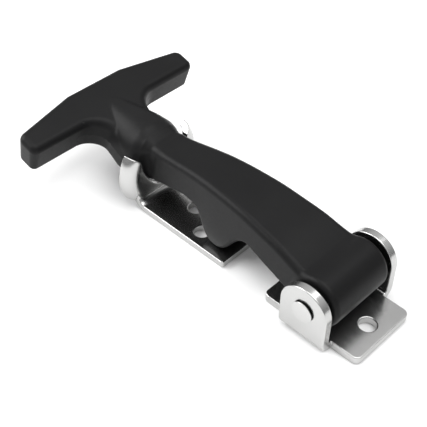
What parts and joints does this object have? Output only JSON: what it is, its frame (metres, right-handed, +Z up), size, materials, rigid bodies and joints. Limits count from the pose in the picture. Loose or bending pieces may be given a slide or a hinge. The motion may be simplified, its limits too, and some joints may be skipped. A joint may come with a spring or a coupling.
{
  "type": "rubber t-handle draw latch",
  "caption": "Moulded rubber draw latch: a tapered strap with a T-handle pivots on a riveted pin in an eared steel bracket and hooks behind a slotted steel cup keeper.",
  "frame": {"origin": "on the mounting plane, straight below the pivot pin, midway between the pivot bracket's two screw holes", "axes": "+X from the T-handle towards the pivot bracket's free flange, +Y across the latch along the pin, +Z up from the mounting plane"},
  "size_m": [0.1364, 0.0752, 0.0295],
  "materials": {
    "plated_steel": "satin zinc-plated sheet steel with soft, blurred reflections",
    "pin_steel": "satin plated steel, formed rivet heads",
    "black_rubber": "fine matt moulded rubber with a faint satin sheen"
  },
  "bodies": {
    "mount": {"pivot_bracket": "plated_steel", "keeper": "plated_steel", "pivot_pin": "pin_steel"},
    "strap": {"rubber_strap": "black_rubber"},
    "handle": {"rubber_t_handle": "black_rubber"}
  },
  "joints": [
    {"name": "strap_swing", "type": "hinge", "parent": "mount", "child": "strap", "pos_m": [0, 0, 0.0135], "axis": [0, 1, 0], "range_deg": [0, 160]},
    {"name": "handle_pull", "type": "slide", "parent": "strap", "child": "handle", "axis": [-1, 0, 0], "range_m": [0, 0.008], "stiffness_N_per_m": 4000}
  ]
}
